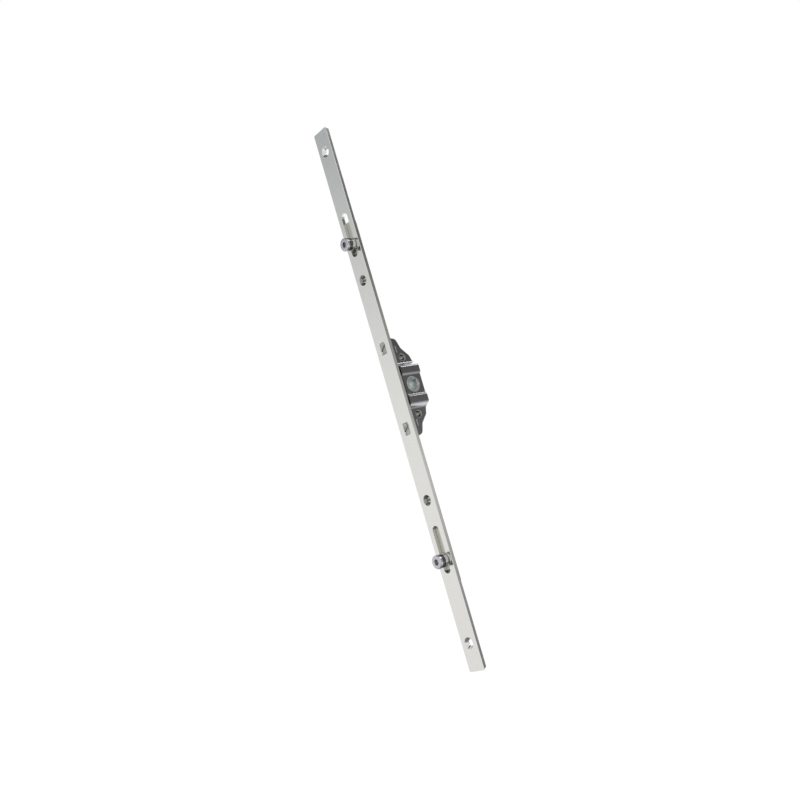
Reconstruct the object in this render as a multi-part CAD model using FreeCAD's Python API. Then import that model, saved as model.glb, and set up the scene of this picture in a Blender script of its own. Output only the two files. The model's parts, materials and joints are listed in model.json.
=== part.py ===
import math
import os

import FreeCAD
import Part

# Frame: X across the faceplate, Y from the faceplate's front into the sash, Z along the bar.
# The origin is on the spindle axis, midway across the faceplate. All sizes are in mm.

# Faceplate
BAR_WIDTH = 16.0
BAR_THICKNESS = 2.5
BAR_CORNER_R = 1.2
BAR_EDGE_R = 0.35
OUTER_SCREW_SPACING = 373.0
HEAD_INSET = 16.5
FOOT_INSET = 19.7
FOOT_BEVEL = 1.9
FOOT_BEVEL_ANGLE = 50.0
INNER_SCREW_Z = 83.5
SCREW_R = 2.2
SCREW_HEAD_R = 4.2
SLOT_Z = 119.5
SLOT_LENGTH = 34.4
SLOT_WIDTH = 7.0

# Drive rod, a punched strip behind the faceplate
ROD_WIDTH = 11.9
ROD_THICKNESS = 2.0
ROD_OVERRUN = 17.5
ROD_CORNER_R = 1.5
ROD_GAP = 0.12
RACK_WINDOW_HEIGHT = 2.9
RACK_WINDOW_WIDTH = 6.4
PUNCH_CORNER_R = 0.3

# Sector gear: twelve divisions with six teeth cut, and journals that run in the casing
GEAR_DIVISIONS = 12
GEAR_TEETH = 6
RACK_PITCH = 4.7
QUARTER_TEETH = GEAR_DIVISIONS // 4
TOOTH_HEIGHT = 0.87
TOOTH_DEPTH = 1.43
TOOTH_ROOT_THICKNESS = 2.3
TOOTH_THICKNESS = 1.9
TOOTH_TIP_THICKNESS = 1.16
TOOTH_TIP_R = 0.25
TOOTH_WIDTH = 5.6
HUB_R = 6.0
HUB_PROUD = 0.4
GEAR_SHOULDER_HEIGHT = 1.0
GEAR_WASHER_BREADTH = 1.2
GEAR_WASHER_THICKNESS = 0.5
SPINDLE_SQUARE = 7.0

# Casing: half-widths in X, and heights in Z where the wall bends
SHEET = 1.2
PLATE_X = 6.5
RIDGE_X = 7.8
WING_X = 3.2
PLATE_Z = 7.1
RIDGE_Z0 = 8.7
RIDGE_Z1 = 14.0
WING_Z = 17.0
PLATE_BEND_R = 1.2
RIDGE_BEND_R = 2.1
WING_BEND_R = 2.3
TIGHT_BEND_R = 0.4
RIM_BEND_R = 0.9

# Casing outline seen from the side: each corner's depth, and its height above the handle's hole
REAR_Y = 9.8
REAR_RISE = -6.6
LOBE_Y = 7.5
LOBE_RISE = 1.1
WAIST_Y = 1.6
WAIST_RISE = 7.2
TIP_Y = -1.1
TIP_RISE = 14.7
TIP_SPLAY = 1.8
OUTLINE_R = 4.0
TIP_R = 4.0

# Handle bush, threaded for the handle's screws
HANDLE_SCREW_SPACING = 43.0
HANDLE_TAP_R = 2.1
HANDLE_BUSH_R = 3.7
HANDLE_COLLAR_R = 3.1
HANDLE_COLLAR_PROUD = 0.2
THREAD_CHAMFER = 0.5

# Mounting post: front tenon staked in the bar, small side tenons in the casing's wings
POST_RISE = 9.0
POST_LENGTH = 9.0
POST_BACK_Y = -2.2
TENON_LENGTH = 7.0
STAKE_WIDTH = 7.0
STAKE_LENGTH = 9.2
STAKE_DEPTH = 1.3
STAKE_SINK = 0.35
STAKE_CORNER_R = 1.2
CHISEL_WIDTH = 0.9
CHISEL_DEPTH = 0.35
CHISEL_ANGLE = -38.0
SIDE_TENON_Y = -3.4
SIDE_TENON_INSET = 2.5
SIDE_TENON_WIDTH = 1.4
SIDE_TENON_LENGTH = 5.4
SIDE_TENON_PROUD = 0.25

# Guide bush: countersunk eyelet that takes a screw and keeps the rod against the bar
GUIDE_R = 3.25
GUIDE_LIP_R = 4.05
GUIDE_FLANGE_R = 4.9
GUIDE_FLANGE_THICKNESS = 0.8
GUIDE_SINK_R = 3.7

# Cam: eccentric mushroom pin, free roller, slot collar and rivet washer
CAM_HEIGHT = 7.85
CAM_HEAD_R = 5.0
CAM_HEAD_THICKNESS = 2.2
CAM_HEAD_CHAMFER = 0.7
CAM_ROLLER_R = 4.8
CAM_CORE_R = 2.9
CAM_STEM_R = 2.5
CAM_ECCENTRICITY = 0.5
CAM_HEX = 4.0
CAM_HEX_DEPTH = 2.8
COLLAR_FLANGE_R = 4.6
COLLAR_FLANGE_THICKNESS = 0.5
COLLAR_LIFT = 0.15
CAM_WASHER_R = 4.6
CAM_WASHER_THICKNESS = 0.6
RIVET_R = 3.4
RIVET_HEIGHT = 0.7
RIVET_DRAFT = 0.5

# Clearances
RUNNING = 0.05
SLIDING = 0.1
STOP = 0.1
LOOSE = 0.3
THROUGH = 1.0

# Levels through the thickness, worked out from the rack
PITCH_R = GEAR_DIVISIONS * RACK_PITCH / (2 * math.pi)
ROD_BACK_Y = -PITCH_R + ROD_THICKNESS / 2
ROD_FRONT_Y = -PITCH_R - ROD_THICKNESS / 2
BAR_BACK_Y = ROD_FRONT_Y - ROD_GAP
BAR_FRONT_Y = BAR_BACK_Y - BAR_THICKNESS
CASING_FRONT_Y = ROD_BACK_Y + LOOSE
HEAD_FRONT_Y = BAR_FRONT_Y - CAM_HEIGHT
HEAD_BACK_Y = HEAD_FRONT_Y + CAM_HEAD_THICKNESS
FLANGE_BACK_Y = BAR_FRONT_Y - COLLAR_LIFT
FLANGE_FRONT_Y = FLANGE_BACK_Y - COLLAR_FLANGE_THICKNESS
WASHER_BACK_Y = ROD_BACK_Y + CAM_WASHER_THICKNESS

# Travel: a quarter turn, with the rod drawn at its lower end
STROKE = QUARTER_TEETH * RACK_PITCH
ROD_Z = -STROKE / 2

# Widths and places that follow from the above
PLATE_INNER_X = PLATE_X - SHEET
WING_INNER_X = WING_X - SHEET
HANDLE_Z = HANDLE_SCREW_SPACING / 2
REAR_Z = HANDLE_Z + REAR_RISE
LOBE_Z = HANDLE_Z + LOBE_RISE
WAIST_Z = HANDLE_Z + WAIST_RISE
TIP_Z = HANDLE_Z + TIP_RISE
POST_Z = HANDLE_Z + POST_RISE
OUTER_SCREW_Z = OUTER_SCREW_SPACING / 2
HEAD_Z = OUTER_SCREW_Z + HEAD_INSET
FOOT_Z = -OUTER_SCREW_Z - FOOT_INSET
ROD_LENGTH = 2 * (SLOT_Z + ROD_OVERRUN)
COLLAR_R = SLOT_WIDTH / 2 - SLIDING
SPLAYED_Z = TIP_Z + TIP_SPLAY
FAR = SPLAYED_Z + THROUGH


def vec(x, y, z):
    return FreeCAD.Vector(x, y, z)


def rounded_wire(points, radii):
    """Closed wire through points, each corner rounded by its own radius."""
    edges, last_end, first_start = [], None, None
    count = len(points)
    for i, (here, radius) in enumerate(zip(points, radii)):
        into = (points[i - 1] - here).normalize()
        out = (points[(i + 1) % count] - here).normalize()
        half = into.getAngle(out) / 2
        reach = radius / math.tan(half)
        start, end = here + into * reach, here + out * reach
        if last_end is None:
            first_start = start
        elif last_end.distanceToPoint(start) > 1e-6:
            edges.append(Part.makeLine(last_end, start))
        if radius > 0:
            middle = here + (into + out).normalize() * (radius / math.sin(half) - radius)
            edges.append(Part.Arc(start, middle, end).toShape())
        last_end = end
    if last_end.distanceToPoint(first_start) > 1e-6:
        edges.append(Part.makeLine(last_end, first_start))
    return Part.Wire(Part.__sortEdges__(edges))


def prism(points, radii, direction):
    """Solid swept along direction from a flat outline with rounded corners."""
    return Part.Face(rounded_wire(points, radii)).extrude(direction)


def box(x0, x1, y0, y1, z0, z1):
    return Part.makeBox(x1 - x0, y1 - y0, z1 - z0, vec(x0, y0, z0))


def disc_y(radius, y0, y1, z=0.0):
    return Part.makeCylinder(radius, y1 - y0, vec(0, y0, z), vec(0, 1, 0))


def disc_x(radius, x0, x1, z=0.0):
    return Part.makeCylinder(radius, x1 - x0, vec(x0, 0, z), vec(1, 0, 0))


def cone_y(r0, r1, y0, y1, z):
    return Part.makeCone(r0, r1, y1 - y0, vec(0, y0, z), vec(0, 1, 0))


def sink_y(mouth_r, hole_r, z):
    """Countersink with a 90 degree mouth in the bar's front face."""
    return cone_y(mouth_r, hole_r, BAR_FRONT_Y, BAR_FRONT_Y + mouth_r - hole_r, z)


def loop_xz(half_x, half_z, y, z, corner):
    """Rounded rectangle across the bar, as a wire at depth y."""
    points = [vec(-half_x, y, z - half_z), vec(half_x, y, z - half_z),
              vec(half_x, y, z + half_z), vec(-half_x, y, z + half_z)]
    return rounded_wire(points, [corner] * 4)


def plate_y(half_x, half_z, y0, y1, z, corner):
    """Rounded rectangular plate from y0 to y1, centred at height z."""
    return Part.Face(loop_xz(half_x, half_z, y0, z, corner)).extrude(vec(0, y1 - y0, 0))


def plate_x(half_y, half_z, reach, y, z, corner):
    """Rounded rectangular plate from -reach to reach across the bar."""
    points = [vec(-reach, y - half_y, z - half_z), vec(-reach, y + half_y, z - half_z),
              vec(-reach, y + half_y, z + half_z), vec(-reach, y - half_y, z + half_z)]
    return prism(points, [corner] * 4, vec(2 * reach, 0, 0))


def export(name, shape):
    shape.exportStep("parts/" + name + ".step")


# Faceplate
def make_faceplate():
    half_w, half_l = BAR_WIDTH / 2, (HEAD_Z - FOOT_Z) / 2
    section = [vec(-half_w, BAR_FRONT_Y, FOOT_Z), vec(half_w, BAR_FRONT_Y, FOOT_Z),
               vec(half_w, BAR_BACK_Y, FOOT_Z), vec(-half_w, BAR_BACK_Y, FOOT_Z)]
    bar = prism(section, [BAR_EDGE_R, BAR_EDGE_R, 0, 0], vec(0, 0, 2 * half_l))
    y0, y1 = BAR_FRONT_Y - THROUGH, BAR_BACK_Y + THROUGH
    bar = bar.common(plate_y(half_w, half_l, y0, y1, HEAD_Z - half_l, BAR_CORNER_R))
    bevel_y = BAR_BACK_Y - FOOT_BEVEL
    rise = FOOT_BEVEL * math.tan(math.radians(FOOT_BEVEL_ANGLE))
    corner = [vec(-BAR_WIDTH, bevel_y, FOOT_Z), vec(-BAR_WIDTH, BAR_BACK_Y, FOOT_Z + rise),
              vec(-BAR_WIDTH, y1, FOOT_Z + rise), vec(-BAR_WIDTH, y1, FOOT_Z - THROUGH),
              vec(-BAR_WIDTH, bevel_y, FOOT_Z - THROUGH)]
    bar = bar.cut(prism(corner, [0] * 5, vec(2 * BAR_WIDTH, 0, 0)))
    cuts = []
    for side in (-1, 1):
        cuts.append(disc_y(SCREW_R, y0, y1, side * OUTER_SCREW_Z))
        cuts.append(sink_y(SCREW_HEAD_R, SCREW_R, side * OUTER_SCREW_Z))
        cuts.append(disc_y(GUIDE_R + RUNNING, y0, y1, side * INNER_SCREW_Z))
        cuts.append(sink_y(GUIDE_LIP_R, GUIDE_R, side * INNER_SCREW_Z))
        cuts.append(plate_y(SLOT_WIDTH / 2, SLOT_LENGTH / 2, y0, y1, side * SLOT_Z, SLOT_WIDTH / 2))
        cuts.append(plate_y(WING_INNER_X + RUNNING, TENON_LENGTH / 2 + RUNNING, y0, y1,
                            side * POST_Z, PUNCH_CORNER_R))
        cuts.append(stake_mouth(side))
    return bar.cut(cuts)


def stake_mouth(side):
    """Tapered mouth of a tenon window, which the staked tenon end fills."""
    z = side * POST_Z
    mouth = loop_xz(STAKE_WIDTH / 2, STAKE_LENGTH / 2, BAR_FRONT_Y, z, STAKE_CORNER_R)
    foot = loop_xz(WING_INNER_X + RUNNING, TENON_LENGTH / 2 + RUNNING, BAR_FRONT_Y + STAKE_DEPTH, z,
                   STAKE_CORNER_R)
    return Part.makeLoft([mouth, foot], True)


# Guide bush
def make_guide_bush(side):
    z = side * INNER_SCREW_Z
    flange_y = ROD_BACK_Y + SLIDING
    rear_y = flange_y + GUIDE_FLANGE_THICKNESS
    body = disc_y(GUIDE_R, BAR_FRONT_Y, rear_y, z)
    body = body.fuse([sink_y(GUIDE_LIP_R, GUIDE_R, z), disc_y(GUIDE_FLANGE_R, flange_y, rear_y, z)])
    bore = disc_y(SCREW_R, BAR_FRONT_Y - THROUGH, rear_y + THROUGH, z)
    return body.cut([sink_y(GUIDE_SINK_R, SCREW_R, z), bore]).removeSplitter()


# Mounting post
def make_post(side):
    x = WING_INNER_X
    outer_z = POST_Z + TENON_LENGTH / 2
    z0, z1 = sorted((side * (outer_z - POST_LENGTH), side * outer_z))
    block = box(-x, x, CASING_FRONT_Y, POST_BACK_Y, z0, z1)
    block = block.common(bell(SHEET + SLIDING, CASING_FRONT_Y))
    z = side * POST_Z
    end_y = BAR_FRONT_Y + STAKE_SINK
    tenon = plate_y(x, TENON_LENGTH / 2, end_y, CASING_FRONT_Y + THROUGH, z, PUNCH_CORNER_R)
    behind = box(-FAR, FAR, end_y, BAR_BACK_Y, z - FAR, z + FAR)
    head = stake_mouth(side).common(behind)
    cross = side_tenons(side, WING_X + SIDE_TENON_PROUD)
    post = block.fuse([tenon, head, cross])
    chisel = box(-BAR_WIDTH, BAR_WIDTH, BAR_FRONT_Y, end_y + CHISEL_DEPTH, -CHISEL_WIDTH / 2, CHISEL_WIDTH / 2)
    chisel.rotate(vec(0, 0, 0), vec(0, 1, 0), CHISEL_ANGLE)
    chisel.translate(vec(0, 0, z))
    return post.cut(chisel).removeSplitter()


def side_tenons(side, reach):
    """Bar across the casing whose ends are the post's side tenons."""
    half_y = SIDE_TENON_WIDTH / 2
    z = side * (POST_Z - SIDE_TENON_INSET)
    return plate_x(half_y, SIDE_TENON_LENGTH / 2, reach, SIDE_TENON_Y, z, half_y * 0.9)


# Casing: two pressed halves, each a tray with a stepped wall and a rim round the back
def inset_path(points, distance):
    """Open path of (a, b) points moved sideways by distance, corners kept sharp."""
    runs = []
    for (a0, b0), (a1, b1) in zip(points, points[1:]):
        size = math.hypot(a1 - a0, b1 - b0)
        ua, ub = (a1 - a0) / size, (b1 - b0) / size
        runs.append((a0 - ub * distance, b0 + ua * distance, ua, ub))
    moved = [runs[0][:2]]
    for (a, b, ua, ub), (c, d, va, vb) in zip(runs, runs[1:]):
        t = ((c - a) * vb - (d - b) * va) / (ua * vb - ub * va)
        moved.append((a + ua * t, b + ub * t))
    a, b, ua, ub = runs[-1]
    size = math.dist(points[-2], points[-1])
    moved.append((a + ua * size, b + ub * size))
    return moved


def inner_bend(radius, inset):
    """Radius inside a corner that points outwards, after drawing it in by inset."""
    return max(TIGHT_BEND_R, radius - inset)


def bell(inset, front_y):
    """Side outline drawn in by inset, right across the bar, open towards front_y."""
    upper = [(REAR_Y, REAR_Z), (LOBE_Y, LOBE_Z), (WAIST_Y, WAIST_Z), (TIP_Y, TIP_Z),
             (CASING_FRONT_Y, SPLAYED_Z)]
    lower = [(y, -z) for y, z in reversed(upper)]
    path = inset_path(lower + upper, inset)
    path = [(front_y, path[0][1])] + path[1:-1] + [(front_y, path[-1][1])]
    side_radii = [inner_bend(TIP_R, inset), OUTLINE_R + inset,
                  inner_bend(OUTLINE_R, inset), inner_bend(OUTLINE_R, inset)]
    radii = [0] + side_radii + side_radii[::-1] + [0]
    return prism([vec(-FAR, y, z) for y, z in path], radii, vec(2 * FAR, 0, 0))


def stepped_block(side, inset, middle_x):
    """Section of one half's wall drawn in by inset, from middle_x outwards, all along Y."""
    upper = [(PLATE_X, PLATE_Z), (RIDGE_X, RIDGE_Z0), (RIDGE_X, RIDGE_Z1), (WING_X, WING_Z), (WING_X, FAR)]
    lower = [(x, -z) for x, z in reversed(upper)]
    wall = inset_path(lower + upper, inset)
    half_radii = [PLATE_BEND_R + inset, inner_bend(PLATE_BEND_R, inset),
                  inner_bend(RIDGE_BEND_R, inset), WING_BEND_R + inset, 0]
    radii = half_radii[::-1] + half_radii + [0, 0]
    points = wall + [(middle_x, wall[-1][1]), (middle_x, wall[0][1])]
    return prism([vec(side * x, -FAR, z) for x, z in points], radii, vec(0, 2 * FAR, 0))


def rim_bends(block, rim):
    """Edges of block where its stepped wall meets the rim, without those that cross the bar."""
    bends = []
    for edge in block.Edges:
        first, last = edge.ParameterRange
        start, middle, end = (edge.valueAt(first + (last - first) * part) for part in (0.0, 0.5, 1.0))
        on_wall = abs(middle.x) > RUNNING and middle.y > CASING_FRONT_Y + RUNNING
        crosses = math.hypot(start.y - end.y, start.z - end.z) < 1e-6
        if on_wall and not crosses and rim.distToShape(Part.Vertex(middle))[0] < 1e-3:
            bends.append(edge)
    return bends


def make_casing(side):
    rim = bell(0.0, CASING_FRONT_Y)
    outer = stepped_block(side, 0.0, 0.0).common(rim).removeSplitter()
    outer = outer.makeFillet(RIM_BEND_R, rim_bends(outer, rim.Shells[0]))
    inner = stepped_block(side, SHEET, -THROUGH).common(bell(SHEET, CASING_FRONT_Y - THROUGH))
    cuts = [inner, disc_x(HUB_R + RUNNING, -FAR, FAR)]
    for end in (-1, 1):
        cuts.append(disc_x(HANDLE_COLLAR_R, -FAR, FAR, end * HANDLE_Z))
        cuts.append(side_tenons(end, FAR))
    return outer.cut(cuts).removeSplitter()


# Handle bush
def make_handle_bush(end):
    z = end * HANDLE_Z
    reach = WING_X + HANDLE_COLLAR_PROUD
    body = disc_x(HANDLE_BUSH_R, -WING_INNER_X, WING_INNER_X, z)
    body = body.fuse(disc_x(HANDLE_COLLAR_R, -reach, reach, z))
    cuts = [disc_x(HANDLE_TAP_R, -reach - THROUGH, reach + THROUGH, z)]
    for side in (-1, 1):
        cuts.append(Part.makeCone(HANDLE_TAP_R + THREAD_CHAMFER, HANDLE_TAP_R, THREAD_CHAMFER,
                                  vec(side * reach, 0, z), vec(-side, 0, 0)))
    return body.cut(cuts).removeSplitter()


# Drive rod
def make_drive_rod():
    rod = plate_y(ROD_WIDTH / 2, ROD_LENGTH / 2, ROD_FRONT_Y, ROD_BACK_Y, ROD_Z, ROD_CORNER_R)
    y0, y1 = ROD_FRONT_Y - THROUGH, ROD_BACK_Y + THROUGH
    cuts = []
    for step in range(-QUARTER_TEETH, QUARTER_TEETH):
        z = ROD_Z + (step + 0.5) * RACK_PITCH
        cuts.append(plate_y(RACK_WINDOW_WIDTH / 2, RACK_WINDOW_HEIGHT / 2, y0, y1, z, PUNCH_CORNER_R))
    for side in (-1, 1):
        cuts.append(plate_y(WING_INNER_X + LOOSE, (STROKE + TENON_LENGTH) / 2 + STOP, y0, y1,
                            ROD_Z + side * POST_Z, PUNCH_CORNER_R))
        cuts.append(plate_y(GUIDE_R + LOOSE, STROKE / 2 + GUIDE_R + LOOSE, y0, y1,
                            ROD_Z + side * INNER_SCREW_Z, GUIDE_R + LOOSE))
        cuts.append(disc_y(CAM_STEM_R + RUNNING, y0, y1, ROD_Z + side * SLOT_Z))
    return rod.cut(cuts)


# Sector gear and its side washers
def make_gear():
    shoulder = PLATE_INNER_X - GEAR_WASHER_THICKNESS - RUNNING
    shoulder_r = HUB_R + GEAR_SHOULDER_HEIGHT
    journal = PLATE_X + HUB_PROUD
    half_width = TOOTH_WIDTH / 2
    root_r = PITCH_R - TOOTH_DEPTH
    gear = disc_x(root_r, -half_width, half_width)
    gear = gear.fuse([disc_x(shoulder_r, -shoulder, shoulder), disc_x(HUB_R, -journal, journal)])
    flank = [(HUB_R, TOOTH_ROOT_THICKNESS), (root_r, TOOTH_ROOT_THICKNESS),
             (PITCH_R, TOOTH_THICKNESS), (PITCH_R + TOOTH_HEIGHT, TOOTH_TIP_THICKNESS)]
    outline = [vec(-half_width, -r, -thickness / 2) for r, thickness in flank]
    outline += [vec(-half_width, -r, thickness / 2) for r, thickness in reversed(flank)]
    radii = [0, 0, 0, TOOTH_TIP_R, TOOTH_TIP_R, 0, 0, 0]
    teeth = []
    for step in range(GEAR_TEETH):
        tooth = prism(outline, radii, vec(TOOTH_WIDTH, 0, 0))
        tooth.rotate(vec(0, 0, 0), vec(1, 0, 0), (step - 1) * 360.0 / GEAR_DIVISIONS)
        teeth.append(tooth)
    half = SPINDLE_SQUARE / 2 + RUNNING
    return gear.fuse(teeth).cut(box(-FAR, FAR, -half, half, -half, half)).removeSplitter()


def make_gear_washer(side):
    x0, x1 = sorted((side * (PLATE_INNER_X - GEAR_WASHER_THICKNESS), side * PLATE_INNER_X))
    washer = disc_x(HUB_R + GEAR_WASHER_BREADTH, x0, x1)
    return washer.cut(disc_x(HUB_R + SLIDING, x0 - THROUGH, x1 + THROUGH))


# Cam
def cam_z(side):
    return ROD_Z + side * SLOT_Z


def make_cam_pin(side):
    z = cam_z(side)
    axis_z = z - CAM_ECCENTRICITY
    rim_y = HEAD_FRONT_Y + CAM_HEAD_CHAMFER
    rivet_y = WASHER_BACK_Y + RIVET_HEIGHT
    pin = disc_y(CAM_HEAD_R, rim_y, HEAD_BACK_Y, axis_z)
    pin = pin.fuse([
        cone_y(CAM_HEAD_R - CAM_HEAD_CHAMFER, CAM_HEAD_R, HEAD_FRONT_Y, rim_y, axis_z),
        disc_y(CAM_CORE_R, HEAD_BACK_Y, FLANGE_FRONT_Y, axis_z),
        disc_y(CAM_STEM_R, FLANGE_FRONT_Y, rivet_y, z),
        cone_y(RIVET_R, RIVET_R - RIVET_DRAFT, WASHER_BACK_Y, rivet_y, z),
    ])
    corner_r = CAM_HEX / math.sqrt(3)
    corners = []
    for k in range(6):
        angle = math.radians(60 * k + 30)
        corners.append(vec(corner_r * math.cos(angle), HEAD_FRONT_Y - THROUGH,
                           axis_z + corner_r * math.sin(angle)))
    return pin.cut(prism(corners, [0] * 6, vec(0, THROUGH + CAM_HEX_DEPTH, 0))).removeSplitter()


def make_cam_roller(side):
    z = cam_z(side) - CAM_ECCENTRICITY
    y0, y1 = HEAD_BACK_Y + SLIDING, FLANGE_FRONT_Y - SLIDING
    return disc_y(CAM_ROLLER_R, y0, y1, z).cut(disc_y(CAM_CORE_R + RUNNING, y0 - THROUGH, y1 + THROUGH, z))


def make_cam_collar(side):
    z = cam_z(side)
    body = disc_y(COLLAR_R, FLANGE_FRONT_Y, ROD_FRONT_Y, z)
    body = body.fuse(disc_y(COLLAR_FLANGE_R, FLANGE_FRONT_Y, FLANGE_BACK_Y, z))
    bore = disc_y(CAM_STEM_R + RUNNING, FLANGE_FRONT_Y - THROUGH, ROD_FRONT_Y + THROUGH, z)
    return body.cut(bore).removeSplitter()


def make_cam_washer(side):
    z = cam_z(side)
    bore = disc_y(CAM_STEM_R + RUNNING, ROD_BACK_Y - THROUGH, WASHER_BACK_Y + THROUGH, z)
    return disc_y(CAM_WASHER_R, ROD_BACK_Y, WASHER_BACK_Y, z).cut(bore)


def main():
    os.makedirs("parts", exist_ok=True)
    export("faceplate", make_faceplate())
    export("drive_rod", make_drive_rod())
    export("sector_gear", make_gear())
    for name, side in (("left", -1), ("right", 1)):
        export("casing_half_" + name, make_casing(side))
        export("gear_washer_" + name, make_gear_washer(side))
    for name, side in (("lower", -1), ("upper", 1)):
        export("mounting_post_" + name, make_post(side))
        export("handle_bush_" + name, make_handle_bush(side))
        export("guide_bush_" + name, make_guide_bush(side))
        export("cam_pin_" + name, make_cam_pin(side))
        export("cam_roller_" + name, make_cam_roller(side))
        export("cam_collar_" + name, make_cam_collar(side))
        export("cam_washer_" + name, make_cam_washer(side))


main()
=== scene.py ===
"""Window espagnolette: finishes, detailed pieces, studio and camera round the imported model."""

import json
import logging
import math
from dataclasses import dataclass
from enum import Enum
from typing import Callable, ClassVar, Sequence

import bmesh
import bpy
from mathutils import Matrix, Vector

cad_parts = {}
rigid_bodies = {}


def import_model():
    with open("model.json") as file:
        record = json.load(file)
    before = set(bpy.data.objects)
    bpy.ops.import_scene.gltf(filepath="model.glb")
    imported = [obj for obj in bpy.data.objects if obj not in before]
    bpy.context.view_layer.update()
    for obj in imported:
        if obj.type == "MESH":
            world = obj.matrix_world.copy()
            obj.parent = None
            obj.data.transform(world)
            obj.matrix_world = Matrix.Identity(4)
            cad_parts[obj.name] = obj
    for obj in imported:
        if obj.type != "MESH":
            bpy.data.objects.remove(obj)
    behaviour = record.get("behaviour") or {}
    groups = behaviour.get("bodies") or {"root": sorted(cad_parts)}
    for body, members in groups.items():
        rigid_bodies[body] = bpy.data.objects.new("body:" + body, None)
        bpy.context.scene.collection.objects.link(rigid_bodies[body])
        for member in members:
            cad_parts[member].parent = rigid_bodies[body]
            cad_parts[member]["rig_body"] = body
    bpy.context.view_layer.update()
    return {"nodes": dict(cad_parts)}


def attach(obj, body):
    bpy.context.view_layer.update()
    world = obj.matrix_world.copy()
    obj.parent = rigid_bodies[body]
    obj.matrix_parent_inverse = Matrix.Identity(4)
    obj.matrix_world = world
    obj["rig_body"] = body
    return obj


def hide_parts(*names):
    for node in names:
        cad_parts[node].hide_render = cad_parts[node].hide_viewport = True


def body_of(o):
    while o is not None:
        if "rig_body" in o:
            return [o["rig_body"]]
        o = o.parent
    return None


LOG = logging.getLogger("espagnolette")
MM = 0.001
NEAR = 0.01  # Places less than this apart count as the same, in millimetres.
WHITE = (1.0, 1.0, 1.0, 1.0)
Colour = tuple[float, float, float]
Triple = tuple[float, float, float]


def grey(shade: float) -> Colour:
    """An even grey."""
    return shade, shade, shade


# Shader maths

class Wire:
    """A shader socket that takes part in Python arithmetic by adding Math nodes."""

    def __init__(self, tree: "Tree", socket: bpy.types.NodeSocket) -> None:
        """Wraps an output socket of a node in the tree."""
        self.tree = tree
        self.socket = socket

    def math(self, operation: str, *others: "Wire | float", clamp: bool = False) -> "Wire":
        """Adds a Math node that works on this value.

        Args:
            operation: the Math node's operation.
            others: the values or wires after this one.
            clamp: whether the result is kept between 0 and 1.

        Returns:
            The result's wire.
        """
        return self.tree.add("Math", {"operation": operation, "use_clamp": clamp}, self, *others)

    def __add__(self, other: "Wire | float") -> "Wire":
        """This plus other."""
        return self.math("ADD", other)

    __radd__ = __add__

    def __mul__(self, other: "Wire | float") -> "Wire":
        """This times other."""
        return self.math("MULTIPLY", other)

    __rmul__ = __mul__

    def __sub__(self, other: "Wire | float") -> "Wire":
        """This minus other."""
        return self.math("SUBTRACT", other)

    def __rsub__(self, other: float) -> "Wire":
        """Other minus this."""
        return self.tree.add("Math", {"operation": "SUBTRACT"}, other, self)

    def ramp(self, low: float, high: float) -> "Wire":
        """0 below low, 1 above high, smooth between."""
        settings = {"interpolation_type": "SMOOTHSTEP"}
        return self.tree.add("MapRange", settings, self, low, high, 0.0, 1.0)


class Tree:
    """Builds a node tree from calls."""

    def __init__(self, owner: bpy.types.Material | bpy.types.World) -> None:
        """Turns on a material's or a world's nodes, and empties them.

        Args:
            owner: the material or the world.
        """
        owner.use_nodes = True
        self.tree = owner.node_tree
        self.tree.nodes.clear()

    def node(self, kind: str, settings: dict, *inputs: object, **named: object) -> bpy.types.Node:
        """Adds one node.

        Args:
            kind: the node's type without its ShaderNode prefix.
            settings: properties set first, or stops for a ramp.
            inputs: values or wires of its input sockets, in order.
            named: values or wires of inputs by name, with spaces as underscores.

        Returns:
            The node.
        """
        made = self.tree.nodes.new("ShaderNode" + kind)
        for key, value in settings.items():
            if key == "stops":
                self._stops(made.color_ramp, value)
            else:
                setattr(made, key, value)
        pairs = list(zip([s for s in made.inputs if s.enabled], inputs))
        pairs += [(made.inputs[name.replace("_", " ")], value) for name, value in named.items()]
        for socket, value in pairs:
            if isinstance(value, Wire):
                self.tree.links.new(value.socket, socket)
            else:
                socket.default_value = value
        return made

    @staticmethod
    def _stops(ramp: bpy.types.ColorRamp, stops: Sequence[tuple[float, Colour]]) -> None:
        """Sets a ramp's stops.

        Args:
            ramp: the ramp.
            stops: the place and the colour of each, at least two of them.
        """
        while len(ramp.elements) < len(stops):
            ramp.elements.new(1.0)
        for element, (place, colour) in zip(ramp.elements, stops):
            element.position = place
            element.color = (*colour, 1.0)

    def add(self, kind: str, settings: dict, *inputs: object, out: str = "", **named: object) -> Wire:
        """Adds one node, as node does, for one of its outputs.

        Args:
            kind: the node's type without its ShaderNode prefix.
            settings: properties set first, or stops for a ramp.
            inputs: values or wires of its input sockets, in order.
            out: the output's name, if it isn't the first one that is enabled.
            named: values or wires of inputs by name, with spaces as underscores.

        Returns:
            The output's wire.
        """
        outputs = self.node(kind, settings, *inputs, **named).outputs
        return Wire(self, outputs[out] if out else next(s for s in outputs if s.enabled))

    def place(self) -> Wire:
        """Object coordinates, in metres."""
        return self.add("TexCoord", {}, out="Object")

    def noise(self, vector: Wire, scale: float, detail: float, roughness: float) -> Wire:
        """Noise from 0 to 1."""
        return self.add("TexNoise", {}, Vector=vector, Scale=scale, Detail=detail, Roughness=roughness)

    def tint(self, factor: Wire, dark: Colour, light: Colour) -> Wire:
        """Colour between two by a factor."""
        return self.add("Mix", {"data_type": "RGBA"}, factor, (*dark, 1.0), (*light, 1.0))


# Finishes

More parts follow.
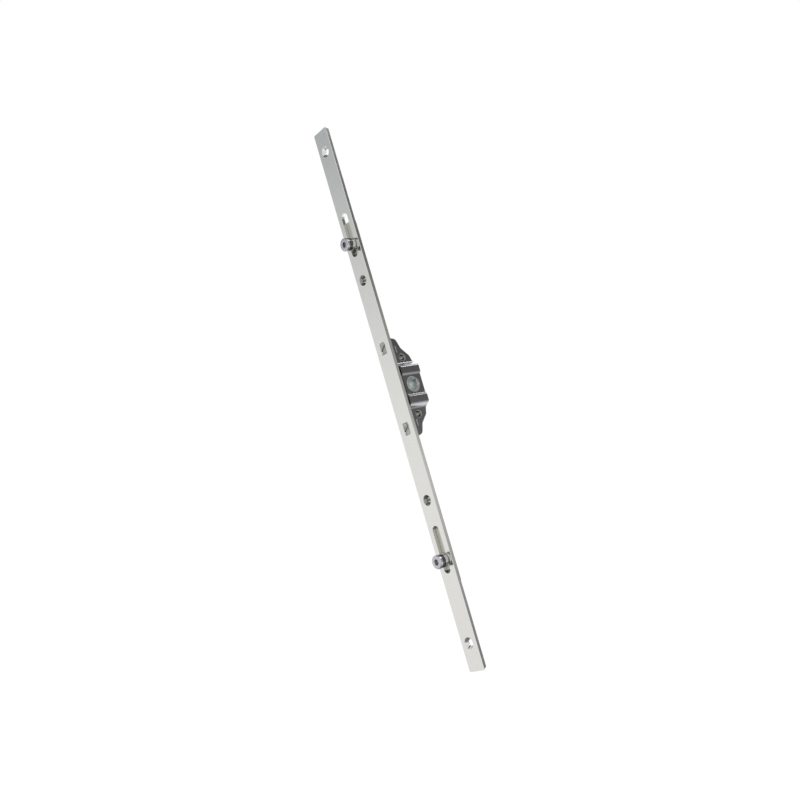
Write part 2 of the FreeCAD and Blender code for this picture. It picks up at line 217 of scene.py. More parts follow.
@dataclass(frozen=True)
class Finish:
    """A metal finish: its colours, gloss, and how much each kind of surface detail shows.

    The clouds are the soft blotches of a passivated coating, with specks in them. The lines are the
    drawing or rolling marks of the sheet, the grain is the fine orange peel of plating, and the scuffs
    are thin scratches. Sizes and heights are in metres. The shared numbers after the fields say how
    fine each kind of detail is, how much it changes the gloss, and how high it stands.
    """

    name: str
    colour: Colour
    cloud_colour: Colour
    roughness: float
    cloud_size: float = 0.006
    clouds: float = 0.5
    lines: float = 0.0
    line_axis: int = 2
    grain: float = 0.3
    grain_size: float = 0.0004
    scuffs: float = 0.0
    slot: str = ""

    specks_per_cloud: ClassVar[float] = 9.0
    cloud_share: ClassVar[float] = 2.0
    speck_share: ClassVar[float] = 0.5
    lines_across: ClassVar[float] = 1500.0
    lines_along: ClassVar[float] = 40.0
    scuff_ways: ClassVar[tuple[tuple[float, float], ...]] = ((0.5, 0.0), (-0.8, 7.0))
    scuff_stretch: ClassVar[Triple] = (260.0, 260.0, 14.0)
    scuff_band: ClassVar[tuple[float, float]] = (0.70, 0.74)
    cloud_gloss: ClassVar[float] = 0.12
    line_gloss: ClassVar[float] = 0.25
    scuff_gloss: ClassVar[float] = 0.10
    least_roughness: ClassVar[float] = 0.06
    line_height: ClassVar[float] = 1.5e-6
    grain_height: ClassVar[float] = 5.0e-6
    scuff_height: ClassVar[float] = 1.5e-6

    def material(self) -> bpy.types.Material:
        """Builds the material.

        Returns:
            The material, with its colour, roughness and relief driven by Object coordinates.
        """
        made = bpy.data.materials.new(self.name)
        tree = Tree(made)
        place = tree.place()
        cloud = tree.noise(place, 1.0 / self.cloud_size, detail=4.0, roughness=0.6) - 0.5
        speck = tree.noise(place, self.specks_per_cloud / self.cloud_size, detail=2.0, roughness=0.5) - 0.5
        stretch = [self.lines_across] * 3
        stretch[self.line_axis] = self.lines_along
        stretched = tree.add("Mapping", {}, place, Scale=stretch)
        line = (tree.noise(stretched, scale=2.0, detail=3.0, roughness=0.6) - 0.5) * self.lines
        grain = (tree.noise(place, 1.0 / self.grain_size, detail=2.0, roughness=0.6) - 0.5) * self.grain
        scuff = self._scuffs(tree, place)
        blotch = cloud * self.cloud_share * self.clouds + speck * self.clouds * self.speck_share
        factor = (blotch + line).math("ADD", 0.5, clamp=True)
        rough = (self.roughness + cloud * self.cloud_gloss + line * self.line_gloss
                 + scuff * self.scuff_gloss).math("MAXIMUM", self.least_roughness)
        relief = line * self.line_height + grain * self.grain_height - scuff * self.scuff_height
        bump = tree.add("Bump", {}, Strength=1.0, Distance=1.0, Height=relief)
        surface = tree.add("BsdfPrincipled", {}, Base_Color=tree.tint(factor, self.colour, self.cloud_colour),
                           Metallic=1.0, Roughness=rough, Normal=bump)
        tree.node("OutputMaterial", {}, surface)
        return made

    def _scuffs(self, tree: Tree, place: Wire) -> Wire:
        """Adds thin scratches in two slanting directions.

        Args:
            tree: the material's tree.
            place: Object coordinates.

        Returns:
            The scratches, from 0 to this finish's strength.
        """
        fields = []
        for turn, shift in self.scuff_ways:
            turned = tree.add("Mapping", {}, place, Location=(shift, 0.0, 0.0), Rotation=(turn, turn, 0.0),
                              Scale=self.scuff_stretch)
            noise = tree.noise(turned, scale=3.0, detail=1.0, roughness=0.4)
            fields.append(noise.ramp(*self.scuff_band))
        return (fields[0] + fields[1]) * self.scuffs


class Finishes(Enum):
    """The finishes, each making a material of its own name."""

    FACEPLATE = Finish("faceplate_zinc", (0.655, 0.655, 0.645), (0.70, 0.70, 0.69), 0.15, clouds=0.5,
                       lines=0.5, grain=0.12, scuffs=0.35)
    ROD = Finish("rod_zinc", (0.50, 0.50, 0.445), (0.61, 0.61, 0.555), 0.30, lines=0.6, grain=0.5)
    CASING = Finish("casing_dark", (0.145, 0.145, 0.155), (0.21, 0.21, 0.215), 0.23, cloud_size=0.008,
                    lines=0.35, line_axis=1, grain=0.35, scuffs=0.3)
    GEAR = Finish("gear_zinc", (0.28, 0.32, 0.32), (0.68, 0.72, 0.71), 0.32, cloud_size=0.003,
                  clouds=1.3, grain=0.9, grain_size=0.0006)
    CAM = Finish("cam_zinc", (0.44, 0.44, 0.475), (0.53, 0.53, 0.56), 0.24, cloud_size=0.003, grain=0.4)
    RING = Finish("ring_zinc", grey(0.62), grey(0.70), 0.18, cloud_size=0.003, grain=0.2, slot="cam_zinc")
    ROLLER = Finish("roller_steel", (0.10, 0.10, 0.105), (0.15, 0.15, 0.155), 0.30, cloud_size=0.003,
                    lines=0.4, line_axis=1, grain=0.3)
    COLLAR = Finish("collar_zinc", grey(0.50), (0.62, 0.62, 0.61), 0.24, cloud_size=0.003, grain=0.3,
                    slot="roller_steel")
    # Painted shade: the bushes' dark colour stands in for the shade that falls deep in their holes.
    BUSH = Finish("bush_zinc", (0.21, 0.21, 0.20), (0.33, 0.33, 0.31), 0.28, cloud_size=0.002,
                  clouds=0.8, grain=0.7)
    # Partly painted shade: the posts' dark tone is the steel's own colour and also stands in for the shade in
    # the staked recesses and chisel marks.
    POST = Finish("post_zinc", (0.20, 0.20, 0.19), (0.48, 0.48, 0.46), 0.30, cloud_size=0.004,
                  clouds=1.4, grain=5.0, grain_size=0.0012, slot="bush_zinc")


class Palette:
    """Makes each finish's material once and puts it on pieces."""

    def __init__(self) -> None:
        """Starts with nothing made."""
        self._made: dict[Finishes, bpy.types.Material] = {}

    def dress(self, piece: bpy.types.Object, finish: Finishes) -> None:
        """Gives a piece its finish.

        Args:
            piece: the piece.
            finish: the finish.
        """
        if finish not in self._made:
            self._made[finish] = finish.value.material()
        piece.data.materials.append(self._made[finish])


# Camera and studio

@dataclass
class ViewPoint:
    """The photograph's camera, fitted to points measured in it. Its place is in millimetres."""

    place: Triple = (570.6, -490.2, -119.1)
    right: Triple = (0.58614, 0.76119, -0.27754)
    ahead: Triple = (-0.75728, 0.63648, 0.14631)
    focal_px: float = 1046.08
    image_px: float = 800.0
    sensor: float = 36.0
    clip: tuple[float, float] = (0.01, 50.0)

    def build(self) -> None:
        """Makes the camera and names it as the scene's."""
        data = bpy.data.cameras.new("camera")
        data.sensor_fit = "HORIZONTAL"
        data.sensor_width = self.sensor
        data.lens = self.focal_px / self.image_px * self.sensor
        data.clip_start, data.clip_end = self.clip
        camera = bpy.data.objects.new("camera", data)
        bpy.context.scene.collection.objects.link(camera)
        back = -Vector(self.ahead).normalized()
        right = Vector(self.right)
        right = (right - back * right.dot(back)).normalized()
        turn = Matrix((right, back.cross(right), back)).transposed().to_4x4()
        camera.matrix_world = Matrix.Translation(Vector(self.place) * MM) @ turn
        bpy.context.scene.camera = camera


@dataclass(frozen=True)
class Card:
    """A card that only reflections see, shaded from its foot to its head.

    Attributes:
        name: its name.
        middle: its middle, in metres.
        right: the way its width runs.
        up: the way from its foot to its head.
        width: its width, in metres.
        height: its height, in metres.
        stops: its shades, from 0 at the foot to 1 at the head.
    """

    name: str
    middle: Triple
    right: Triple
    up: Triple
    width: float
    height: float
    stops: tuple[tuple[float, Colour], ...]

    def build(self) -> bpy.types.Object:
        """Makes the card.

        Returns:
            The card.
        """
        material = bpy.data.materials.new(self.name)
        tree = Tree(material)
        rise = tree.add("SeparateXYZ", {}, tree.place(), out="Y") * (1.0 / self.height) + 0.5
        shade = tree.add("ValToRGB", {"stops": self.stops}, rise)
        tree.node("OutputMaterial", {}, tree.add("Emission", {}, shade, 1.0))
        bpy.ops.mesh.primitive_plane_add(size=1.0)
        card = bpy.context.object
        card.name = self.name
        card.data.transform(Matrix.Diagonal((self.width, self.height, 1.0, 1.0)))
        right, up = Vector(self.right).normalized(), Vector(self.up).normalized()
        turn = Matrix((right, up, right.cross(up))).transposed().to_4x4()
        card.matrix_world = Matrix.Translation(self.middle) @ turn
        card.data.materials.append(material)
        for kind in ("camera", "diffuse", "transmission", "volume_scatter", "shadow"):
            setattr(card, "visible_" + kind, False)
        return card


@dataclass(frozen=True)
class Lamp:
    """A square soft lamp that faces the object, or lies flat just over the floor.

    Attributes:
        name: its name.
        place: where it stands, in metres.
        size: its side, in metres.
        power: its power, in watts.
        mirrored: whether it is one that metal mirrors and that lights no matt surface, or the reverse.
        flat: whether it lies flat and shines upwards.
    """

    name: str
    place: Triple
    size: float
    power: float
    mirrored: bool = True
    flat: bool = False

    def build(self) -> None:
        """Makes the lamp."""
        data = bpy.data.lights.new(self.name, "AREA")
        data.size = self.size
        data.energy = self.power
        lamp = bpy.data.objects.new(self.name, data)
        lamp.visible_camera = False
        lamp.visible_glossy = self.mirrored
        lamp.visible_diffuse = not self.mirrored
        lamp.location = self.place
        lamp.rotation_mode = "QUATERNION"
        back = Vector((0, 0, -1)) if self.flat else Vector(self.place)
        lamp.rotation_quaternion = back.to_track_quat("Z", "Y")
        bpy.context.scene.collection.objects.link(lamp)


@dataclass
class Studio:
    """White room: floor, world, soft lamps, and the cards that the bright metal mirrors.

    Attributes:
        floor_z: the floor's height, in metres.
        floor_size: its side, in metres.
        floor_paint: its own shade.
        floor_glow: the light that it adds for the rays that see the background.
        fill: the world's strength for all other rays.
        cards: the cards.
        lamps: the lamps.
    """

    floor_z: float = -0.40
    floor_size: float = 24.0
    floor_paint: float = 0.80
    floor_glow: float = 0.52
    fill: float = 0.62
    cards: tuple[Card, ...] = (
        Card("front_card", (-0.841, -0.707, 0.20), (-0.643, 0.765, 0.0), (0, 0, 1), 1.3, 1.4,
             ((0.14, (1.05, 1.04, 1.01)), (0.30, (1.08, 1.07, 1.05)), (0.473, (1.02, 1.02, 1.00)),
              (0.649, (0.82, 0.83, 0.82)), (0.827, (0.57, 0.59, 0.605)))),
        Card("side_card", (0.841, 0.707, 0.20), (-0.643, 0.765, 0.0), (0, 0, 1), 1.3, 1.4,
             ((0.14, (0.23, 0.23, 0.22)), (0.22, (0.38, 0.38, 0.37)), (0.32, (0.62, 0.61, 0.60)),
              (0.36, (0.74, 0.73, 0.71)), (0.40, (0.68, 0.67, 0.65)), (0.45, (0.48, 0.47, 0.45)),
              (0.57, (0.36, 0.36, 0.34)), (0.67, (0.16, 0.16, 0.15)), (0.83, grey(0.20)))),
        Card("over_flag", (-0.1, -0.65, 1.25), (1, 0, 0), (0, 1, 0), 1.0, 0.9,
             ((0.0, grey(0.12)), (1.0, grey(0.12)))),
        Card("under_flag", (-0.45, -0.27, -0.395), (0, 1, 0), (1, 0, 0), 0.52, 1.6,
             ((0.0, grey(0.70)), (0.45, grey(0.60)), (0.72, grey(0.26)), (0.85, grey(0.26)),
              (1.0, grey(0.60)))),
    )
    lamps: tuple[Lamp, ...] = (
        Lamp("key", (-1.0, -1.3, 1.1), 1.2, 9.0, mirrored=False),
        Lamp("top_strip", (-0.59, 0.84, 0.81), 0.40, 1.15),
        Lamp("wing_strip", (0.60, 0.84, 0.80), 0.28, 2.1),
        Lamp("ridge_strip", (0.02, 0.85, 0.98), 0.30, 0.20),
        Lamp("low_strip", (-0.082, 0.300, -0.388), 0.14, 0.17, flat=True),
        Lamp("step_strip", (0.186, 0.345, -0.388), 0.13, 0.04, flat=True),
    )

    def build(self) -> None:
        """Makes the whole studio."""
        bpy.context.scene.view_settings.view_transform = "Standard"
        self._world()
        self._floor()
        for lamp in self.lamps:
            lamp.build()
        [card.build() for card in self.cards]

    @staticmethod
    def _seen(tree: Tree) -> Wire:
        """Picks out the rays that see the background.

        Args:
            tree: the tree to add to.

        Returns:
            1 for the camera's rays and those that metal mirrors or glass lets through, 0 for others.
        """
        path = tree.node("LightPath", {})
        camera, glossy, through = (Wire(tree, path.outputs[f"Is {kind} Ray"])
                                   for kind in ("Camera", "Glossy", "Transmission"))
        return (camera + glossy).math("ADD", through, clamp=True)

    def _world(self) -> None:
        """White for what sees the background, and a plain fill for the rest."""
        world = bpy.data.worlds.new("studio")
        bpy.context.scene.world = world
        tree = Tree(world)
        strength = self._seen(tree) * (1.0 - self.fill) + self.fill
        tree.node("OutputWorld", {}, tree.add("Background", {}, WHITE, strength))

    def _floor(self) -> None:
        """A pale floor that keeps the shadow and shows white where nothing shades it."""
        material = bpy.data.materials.new("floor")
        tree = Tree(material)
        paint = tree.add("BsdfDiffuse", {}, (*grey(self.floor_paint), 1.0))
        glow = tree.add("Emission", {}, WHITE, self._seen(tree) * self.floor_glow)
        tree.node("OutputMaterial", {}, tree.add("AddShader", {}, paint, glow))
        bpy.ops.mesh.primitive_plane_add(size=self.floor_size, location=(0.0, 0.0, self.floor_z))
        floor = bpy.context.object
        floor.name = "floor"
        floor.data.materials.append(material)


# Mesh work

class Axis(Enum):
    """The way a turned piece's axis points, as the turn that lays a shape's own Z along it."""

    X = (math.pi / 2, "Y")
    Y = (-math.pi / 2, "X")


class Shape:
    """A mesh in millimetres, shaped by bmesh operators.

    Its shared numbers are the distances within which a node's loose corners and a turned body's seam
    close, the angle in degrees up to which a node's triangles are one flat face, the angle in degrees
    from which an edge looks sharp, and, for a thread, how deep the ridge's foot sinks in the wall and
    where its four corners lie in parts of the pitch.
    """

    join_within: ClassVar[float] = 0.0008
    seam_within: ClassVar[float] = 0.0001
    flat_up_to: ClassVar[float] = 0.4
    sharp_from: ClassVar[float] = 50.0
    foot_sink: ClassVar[float] = 0.1
    ridge_parts: ClassVar[tuple[float, ...]] = (0.0, 0.40, 0.46, 0.86)

    def __init__(self) -> None:
        """Starts with an empty mesh."""
        self.mesh = bmesh.new()

    @classmethod
    def from_node(cls, node: bpy.types.Object) -> "Shape":
        """Starts from a copy of a node's solid, with its loose triangles joined to whole faces.

        Args:
            node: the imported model's node.

        Returns:
            The shape.
        """
        shape = cls()
        mesh = shape.mesh
        mesh.from_mesh(node.data)
        bmesh.ops.scale(mesh, vec=(1.0 / MM,) * 3, verts=mesh.verts)
        bmesh.ops.remove_doubles(mesh, verts=mesh.verts, dist=cls.join_within)
        bmesh.ops.dissolve_limit(mesh, angle_limit=math.radians(cls.flat_up_to), verts=mesh.verts,
                                 edges=mesh.edges)
        return shape

    def turn(self, profile: Sequence[tuple[float, float]], steps: int = 72, closed: bool = False) -> "Shape":
        """Adds a turned body round this shape's own Z.

        Args:
            profile: radii and places along the axis, from one end of the cut to the other.
            steps: how many steps a full turn has.
            closed: whether the profile's ends join, as they do on a ring.

        Returns:
            This shape.
        """
        verts = [self.mesh.verts.new((radius, 0.0, along)) for radius, along in profile]
        ends = list(zip(verts, verts[1:])) + ([(verts[-1], verts[0])] if closed else [])
        edges = [self.mesh.edges.new(pair) for pair in ends]
        bmesh.ops.spin(self.mesh, geom=verts + edges, cent=(0, 0, 0), axis=(0, 0, 1), dvec=(0, 0, 0),
                       angle=math.tau, steps=steps, use_merge=True, use_duplicate=False)
        bmesh.ops.remove_doubles(self.mesh, verts=self.mesh.verts, dist=self.seam_within)
        return self

    def thread(self, radius: float, depth: float, pitch: float, start: float, end: float,
               steps: int = 36) -> "Shape":
        """Adds the cross-sections of an internal thread's ridge along its helix.

        They stay loose faces, because the spin copies the first one and doesn't join them.

        Args:
            radius: the bore's radius.
            depth: how far the ridge stands in from the bore.
            pitch: the rise in one turn.
            start: where the ridge starts along the axis.
            end: where it ends.
            steps: how many steps a full turn has.

        Returns:
            This shape.
        """
        foot, crest = radius + self.foot_sink, radius - depth
        verts = [self.mesh.verts.new((r, 0.0, start + pitch * part))
                 for r, part in zip((foot, crest, crest, foot), self.ridge_parts)]
        face = self.mesh.faces.new(verts)
        turns = (end - start) / pitch - 1.0
        bmesh.ops.spin(self.mesh, geom=[face] + list(face.edges) + verts, cent=(0, 0, 0), axis=(0, 0, 1),
                       dvec=(0, 0, pitch / steps), angle=math.tau * turns, steps=int(steps * turns),
                       use_merge=False, use_duplicate=True)
        return self

    def socket(self, across: float, top: float, lip: float, depth: float) -> "Shape":
        """Closes a turned body's open round mouth with a hexagon socket.

        Args:
            across: the hexagon's size across its flats.
            top: where the mouth lies along the axis.
            lip: the depth of the chamfer round the hexagon.
            depth: the socket's depth. It runs towards higher places along the axis.

        Returns:
            This shape.
        """
        mouth = [e for e in self.mesh.edges if e.is_boundary]
        ring = bmesh.ops.create_circle(self.mesh, segments=6, radius=across / math.sqrt(3),
                                       matrix=Matrix.Translation((0, 0, top + lip)))
        sides = list({e for v in ring["verts"] for e in v.link_edges})
        cut = bmesh.ops.subdivide_edges(self.mesh, edges=sides, cuts=len(mouth) // len(sides) - 1)
        hexagon = [e for e in cut["geom"] if isinstance(e, bmesh.types.BMEdge)]
        bmesh.ops.bridge_loops(self.mesh, edges=mouth + hexagon)
        pulled = bmesh.ops.extrude_edge_only(self.mesh, edges=hexagon)["geom"]
        verts = [g for g in pulled if isinstance(g, bmesh.types.BMVert)]
        bmesh.ops.translate(self.mesh, vec=(0, 0, depth - lip), verts=verts)
        rim = [g for g in pulled if isinstance(g, bmesh.types.BMEdge)]
        floor = bmesh.ops.contextual_create(self.mesh, geom=rim)["faces"]
        bmesh.ops.poke(self.mesh, faces=floor)
        return self

    def join(self, other: "Shape") -> "Shape":
        """Takes in another shape, which is used up.

        Args:
            other: the other shape.

        Returns:
            This shape.
        """
        handed = bpy.data.meshes.new("handed")
        other.mesh.to_mesh(handed)
        other.mesh.free()
        self.mesh.from_mesh(handed)
        bpy.data.meshes.remove(handed)
        return self

    def lay(self, axis: Axis, middle: Triple) -> "Shape":
        """Lays the shape's own Z along an axis and moves the shape to its place.

        Args:
            axis: the axis.
            middle: where the shape's own origin goes, in millimetres.

        Returns:
            This shape.
        """
        angle, about = axis.value
        matrix = Matrix.Translation(middle) @ Matrix.Rotation(angle, 4, about)
        bmesh.ops.transform(self.mesh, matrix=matrix, verts=self.mesh.verts)
        return self

    def soften(self, width: float, segments: int = 2, angle: float = 28.0,
               where: Callable[[bmesh.types.BMEdge], bool] | None = None, clamp: bool = True) -> "Shape":
        """Rounds the edges sharper than an angle.

        Args:
            width: the rounding's width.
            segments: how many faces cross it.
            angle: the least angle between two faces, in degrees.
            where: whether an edge is among those rounded, all of them if it isn't given.
            clamp: whether the shortest edges near by hold the width down.

        Returns:
            This shape.
        """
        bmesh.ops.recalc_face_normals(self.mesh, faces=self.mesh.faces)
        edges = [e for e in self.mesh.edges if len(e.link_faces) == 2 and
                 e.calc_face_angle(0.0) > math.radians(angle) and (where is None or where(e))]
        bmesh.ops.bevel(self.mesh, geom=edges, offset=width, offset_type="OFFSET", segments=segments,
                        profile=0.5, affect="EDGES", clamp_overlap=clamp, material=-1)
        return self

    def piece(self, name: str) -> bpy.types.Object:
        """Makes the object, and uses this shape up.

        Args:
            name: its name.

        Returns:
            The object, in metres, at the world's origin, with even shading over its flat faces.
        """
        bmesh.ops.recalc_face_normals(self.mesh, faces=self.mesh.faces)
        bmesh.ops.scale(self.mesh, vec=(MM,) * 3, verts=self.mesh.verts)
        data = bpy.data.meshes.new(name)
        self.mesh.to_mesh(data)
        self.mesh.free()
        data.shade_smooth()
        data.set_sharp_from_angle(angle=math.radians(self.sharp_from))
        made = bpy.data.objects.new(name, data)
        bpy.context.scene.collection.objects.link(made)
        made.modifiers.new("even_shading", "WEIGHTED_NORMAL").keep_sharp = True
        return made


@dataclass
class Workshop:
    """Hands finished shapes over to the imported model's bodies."""

    nodes: dict[str, bpy.types.Object]
    palette: Palette

    def fit(self, shape: Shape, node: str, finish: Finishes, part: str = "piece") -> None:
        """Turns a shape into a piece that stands for a node.

        Args:
            shape: the finished shape.
            node: the node that it stands for.
            finish: its finish.
            part: the end of its name, which differs where several pieces stand for one node.
        """
        piece = shape.piece(f"{node}_{part}")
        self.palette.dress(piece, finish)
        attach(piece, body_of(self.nodes[node])[0])
        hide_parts(node)
        LOG.info("%s: %d faces, %s", piece.name, len(piece.data.polygons), finish.value.name)

    def rounded(self, node: str, finish: Finishes, width: float) -> None:
        """Makes a piece with the node's own form and edges rounded to a width in millimetres."""
        self.fit(Shape.from_node(self.nodes[node]).soften(width), node, finish)


# Pieces, with their sizes in millimetres

class End(Enum):
    """The bar's two ends, as the way each lies along Z."""

    LOWER = -1
    UPPER = 1

    def of(self, kind: str) -> str:
        """The name of this end's node of a kind."""
        return f"{kind}_{self.name.lower()}"


@dataclass
class Bar:
    """The faceplate and the drive rod behind it, both of rolled strip with punched openings."""

    plate_edge: float = 0.12
    rod_edge: float = 0.15

    def build(self, shop: Workshop) -> None:
        """Makes both strips."""
        shop.rounded("faceplate", Finishes.FACEPLATE, self.plate_edge)
        shop.rounded("drive_rod", Finishes.ROD, self.rod_edge)


@dataclass
class GearCase:
    """The pressed casing and the sector gear between its halves."""

    sheet_edge: float = 0.18
    gear_edge: float = 0.10
    washer_edge: float = 0.08
    spindle_half: float = 3.55
    spindle_chamfer: float = 0.55
    hub_x: float = 6.9

    def build(self, shop: Workshop) -> None:
        """Makes the casing halves, the gear and its washers.

        Args:
            shop: the workshop that takes them.
        """
        gear = Shape.from_node(shop.nodes["sector_gear"])
        gear.soften(self.spindle_chamfer, where=self._on_spindle_mouth).soften(self.gear_edge)
        shop.fit(gear, "sector_gear", Finishes.GEAR)
        for side in ("left", "right"):
            shop.rounded("casing_half_" + side, Finishes.CASING, self.sheet_edge)
            shop.rounded("gear_washer_" + side, Finishes.GEAR, self.washer_edge)

    def _on_spindle_mouth(self, edge: bmesh.types.BMEdge) -> bool:
        """Whether an edge is on the mouth of the spindle's square hole."""
        return all(abs(abs(v.co.x) - self.hub_x) < NEAR and
                   max(abs(v.co.y), abs(v.co.z)) < self.spindle_half + 2 * NEAR for v in edge.verts)


@dataclass
class HandleBush:
    """A tapped bush held between the casing's wings, with its collars peened over in their holes."""

    screw_z: float = 21.5
    body_r: float = 3.7
    body_x: float = 2.0
    collar_r: float = 3.1
    collar_x: float = 3.4
    collar_lip: float = 0.12
    bore_r: float = 2.1
    chamfer: float = 0.5
    edge: float = 0.07
    pitch: float = 0.8
    thread_depth: float = 0.3
    thread_inset: tuple[float, float] = (0.3, 0.1)

    def build(self, shop: Workshop) -> None:
        """Makes both bushes.

        Args:
            shop: the workshop that takes them.
        """
        half = [(self.bore_r, 0.0), (self.bore_r, self.collar_x - self.chamfer),
                (self.bore_r + self.chamfer, self.collar_x), (self.collar_r - self.collar_lip, self.collar_x),
                (self.collar_r, self.collar_x - self.collar_lip), (self.collar_r, self.body_x),
                (self.body_r, self.body_x)]
        profile = half + [(radius, -along) for radius, along in reversed(half[1:])]
        start, end = -self.collar_x + self.thread_inset[0], self.collar_x - self.thread_inset[1]
        for place in End:
            shape = Shape().turn(profile, closed=True).soften(self.edge)
            shape.thread(self.bore_r, self.thread_depth, self.pitch, start, end)
            shape.lay(Axis.X, (0.0, 0.0, place.value * self.screw_z))
            shop.fit(shape, place.of("handle_bush"), Finishes.BUSH)


@dataclass
class Fixings:
    """The posts that hold the casing to the faceplate, and the eyelets that guide the rod.

    A post's staked end shows in the faceplate, with one chisel mark across it. Its turn is in degrees.
    """

    post_z: float = 30.5
    post_edge: float = 0.09
    stake_y: float = -12.24634
    stake_half_x: float = 3.11
    stake_half_z: float = 4.32
    stake_round: float = 0.35
    rim_share: float = 0.8
    chisel_turn: float = 38.0
    chisel_half: float = 0.45
    chisel_round: float = 0.30
    mark_segments: int = 4
    tip_x: float = 3.45
    tip_round: float = 0.60
    tip_segments: int = 5
    eyelet_edge: float = 0.10

    def build(self, shop: Workshop) -> None:
        """Makes the posts and the eyelets.

        Args:
            shop: the workshop that takes them.
        """
        for end in End:
            post_z = end.value * self.post_z
            post = Shape.from_node(shop.nodes[end.of("mounting_post")])
            post.soften(self.tip_round, self.tip_segments, where=self._on_tip)
            post.soften(self.stake_round, self.mark_segments,
                        where=lambda edge: self._on_stake_rim(edge, post_z))
            post.soften(self.chisel_round, self.mark_segments,
                        where=lambda edge: self._on_chisel(edge, post_z), clamp=False)
            shop.fit(post.soften(self.post_edge), end.of("mounting_post"), Finishes.POST)
            shop.rounded(end.of("guide_bush"), Finishes.BUSH, self.eyelet_edge)

    def _on_tip(self, edge: bmesh.types.BMEdge) -> bool:
        """Whether an edge is round the end of a side tenon."""
        return all(abs(v.co.x) > self.tip_x - NEAR for v in edge.verts)

    def _on_stake(self, edge: bmesh.types.BMEdge) -> bool:
        """Whether an edge is on the face of the staked end."""
        return all(abs(v.co.y - self.stake_y) < NEAR for v in edge.verts)

    def _off_chisel(self, place: Vector, post_z: float) -> float:
        """How far a place lies from the middle of the chisel mark of the post at a height."""
        turn = math.radians(self.chisel_turn)
        return abs((place.z - post_z) * math.cos(turn) - place.x * math.sin(turn))

    def _on_stake_rim(self, edge: bmesh.types.BMEdge, post_z: float) -> bool:
        """Tells whether an edge is on the outline of the staked end, clear of the chisel mark.

        Args:
            edge: the edge.
            post_z: the post's height.

        Returns:
            Whether it is.
        """
        middle = (edge.verts[0].co + edge.verts[1].co) / 2
        reach = max(abs(middle.x) / self.stake_half_x, abs(middle.z - post_z) / self.stake_half_z)
        clear = self._off_chisel(middle, post_z) > self.chisel_half + self.stake_round
        return clear and reach > self.rim_share and self._on_stake(edge)

    def _on_chisel(self, edge: bmesh.types.BMEdge, post_z: float) -> bool:
        """Whether an edge runs along the mouth of the chisel mark of the post at a height."""
        return self._on_stake(edge) and all(
            abs(self._off_chisel(v.co, post_z) - self.chisel_half) < NEAR for v in edge.verts)


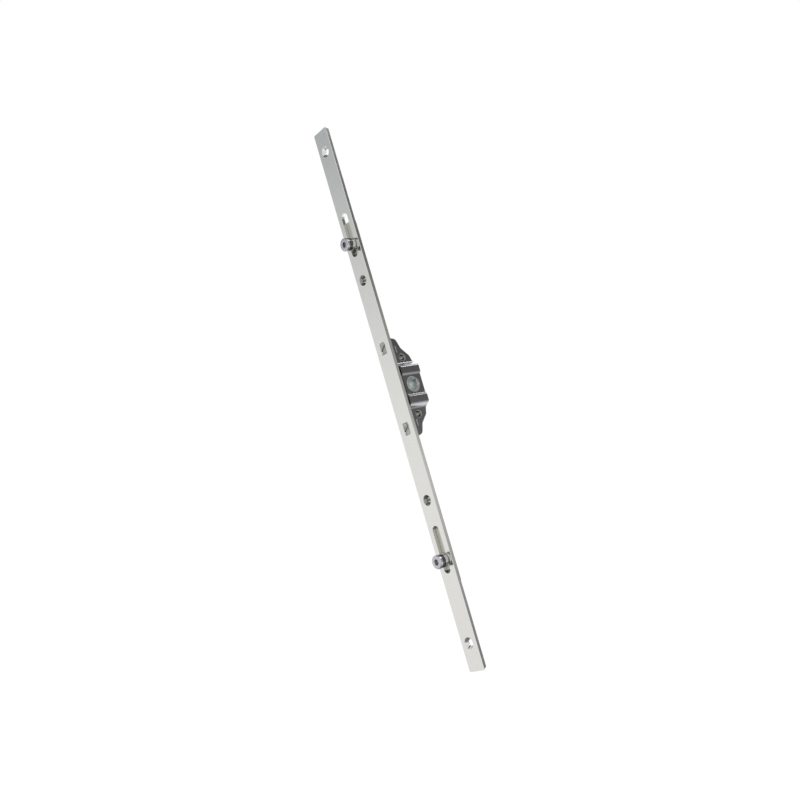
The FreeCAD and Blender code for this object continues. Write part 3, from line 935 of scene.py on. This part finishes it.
@dataclass
class Cam:
    """An eccentric locking cam: pin with a hexagon socket, free roller, collar and back washer.

    Sizes ending in _y are places along the world's Y, from the head in front to the rivet at the back,
    and pin_sharp_from is in degrees. The last group is the clearances: in the bores, at the roller's
    ends, and where the stem meets the head's core and its rivet meets the washer.
    """

    end: End
    stem_z: float
    eccentricity: float = 0.5
    front_y: float = -20.44634
    head_y: float = -18.24634
    ring_y: float = -15.3
    flange_y: float = -13.24634
    face_y: float = -12.74634
    rod_front_y: float = -9.97634
    rod_back_y: float = -7.97634
    washer_y: float = -7.37634
    rivet_y: float = -6.67634

    head_r: float = 5.0
    head_round: float = 0.7
    head_edge: float = 0.2
    crown_share: float = 0.45
    core_r: float = 2.9
    stem_r: float = 2.5
    hexagon: float = 4.0
    socket_mouth: float = 0.25
    socket_lip: float = 0.22
    socket_depth: float = 2.8
    pin_edge: float = 0.07
    pin_sharp_from: float = 40.0

    rivet_r: float = 3.4
    rivet_rise: float = 0.3
    rivet_taper: float = 0.08
    rivet_round: float = 0.5
    rivet_edge: float = 0.08
    dimple_r: float = 1.3
    dimple_floor_r: float = 0.9
    dimple_wall: float = 0.25
    dimple_depth: float = 0.3

    roller_r: float = 4.8
    step_depth: float = 0.18
    step_width: float = 0.9
    step_slant: float = 0.1
    sleeve_edge: float = 0.14
    ring_edge: float = 0.20
    roller_segments: int = 3
    collar_r: float = 3.4
    flange_r: float = 4.6
    collar_edge: float = 0.12

    running: float = 0.05
    sliding: float = 0.1
    seam: float = 0.02

    def build(self, shop: Workshop) -> None:
        """Makes the cam's pieces.

        Args:
            shop: the workshop that takes them.
        """
        head_z = self.stem_z - self.eccentricity
        for shape, kind, finish, part, middle_z in (
                (self._pin(), "cam_pin", Finishes.CAM, "piece", self.stem_z),
                (self._sleeve(), "cam_roller", Finishes.ROLLER, "sleeve", head_z),
                (self._ring(), "cam_roller", Finishes.RING, "ring", head_z),
                (self._collar(), "cam_collar", Finishes.COLLAR, "piece", self.stem_z),
                (self._washer(), "cam_washer", Finishes.ROD, "piece", self.stem_z)):
            shop.fit(shape.lay(Axis.Y, (0.0, 0.0, middle_z)), self.end.of(kind), finish, part)

    def _pin(self) -> Shape:
        """Makes the head, its core and the riveted stem.

        Returns:
            The pin, with its stem along the shape's own Z.
        """
        mouth_r = self.hexagon / math.sqrt(3) + self.socket_mouth
        head = Shape().turn([
            (mouth_r, self.front_y), (self.head_r - self.head_round, self.front_y),
            (self.head_r - self.head_edge, self.front_y + self.head_round * self.crown_share),
            (self.head_r, self.front_y + self.head_round), (self.head_r, self.head_y - self.head_edge),
            (self.head_r - self.head_edge, self.head_y), (self.core_r, self.head_y),
            (self.core_r, self.flange_y), (0.0, self.flange_y)])
        head.socket(self.hexagon, self.front_y, self.socket_lip, self.socket_depth)
        head.soften(self.pin_edge, angle=self.pin_sharp_from)
        bmesh.ops.translate(head.mesh, vec=(0, self.eccentricity, 0), verts=head.mesh.verts)
        stem_y = self.flange_y + self.seam
        seat_y = self.washer_y + self.seam
        stem = Shape().turn([
            (0.0, stem_y), (self.stem_r, stem_y), (self.stem_r, seat_y), (self.rivet_r, seat_y),
            (self.rivet_r - self.rivet_taper, seat_y + self.rivet_rise),
            (self.rivet_r - self.rivet_round, self.rivet_y), (self.dimple_r, self.rivet_y),
            (self.dimple_floor_r, self.rivet_y - self.dimple_wall),
            (0.0, self.rivet_y - self.dimple_depth)]).soften(self.rivet_edge)
        return head.join(stem)

    def _sleeve(self) -> Shape:
        """Makes the roller's dark running sleeve, with a shallow step turned in its end.

        Returns:
            The sleeve, along the shape's own Z.
        """
        low = self.head_y + self.sliding
        bore_r = self.core_r + self.running
        step_r = bore_r + self.step_width
        return Shape().turn([
            (bore_r, low + self.step_depth), (step_r, low + self.step_depth), (step_r + self.step_slant, low),
            (self.roller_r, low), (self.roller_r, self.ring_y), (bore_r, self.ring_y)],
            closed=True).soften(self.sleeve_edge, self.roller_segments)

    def _ring(self) -> Shape:
        """Makes the roller's bright foot ring, which runs on the collar's flange.

        Returns:
            The ring, along the shape's own Z.
        """
        high = self.flange_y - self.sliding
        bore_r = self.core_r + self.running
        return Shape().turn([
            (bore_r, self.ring_y), (self.roller_r, self.ring_y), (self.roller_r, high), (bore_r, high)],
            closed=True).soften(self.ring_edge, self.roller_segments)

    def _collar(self) -> Shape:
        """Makes the collar that slides in the faceplate's slot, with its flange outside.

        Returns:
            The collar, along the shape's own Z.
        """
        bore_r = self.stem_r + self.running
        return Shape().turn([
            (bore_r, self.flange_y), (self.flange_r, self.flange_y), (self.flange_r, self.face_y),
            (self.collar_r, self.face_y), (self.collar_r, self.rod_front_y), (bore_r, self.rod_front_y)],
            closed=True).soften(self.collar_edge)

    def _washer(self) -> Shape:
        """Makes the washer under the riveted end.

        Returns:
            The washer, along the shape's own Z.
        """
        bore_r = self.stem_r + self.running
        return Shape().turn([
            (bore_r, self.rod_back_y), (self.flange_r, self.rod_back_y), (self.flange_r, self.washer_y),
            (bore_r, self.washer_y)], closed=True).soften(self.collar_edge)


def main() -> None:
    """Loads the frame, dresses it and sets the studio and camera."""
    logging.basicConfig(level=logging.INFO)
    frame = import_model()
    ViewPoint().build()
    Studio().build()
    shop = Workshop(frame["nodes"], Palette())
    parts = (Bar(), GearCase(), HandleBush(), Fixings(), Cam(End.UPPER, 112.45), Cam(End.LOWER, -126.55))
    for part in parts:
        part.build(shop)
        LOG.info("built %s", type(part).__name__)


if __name__ == "__main__":
    main()
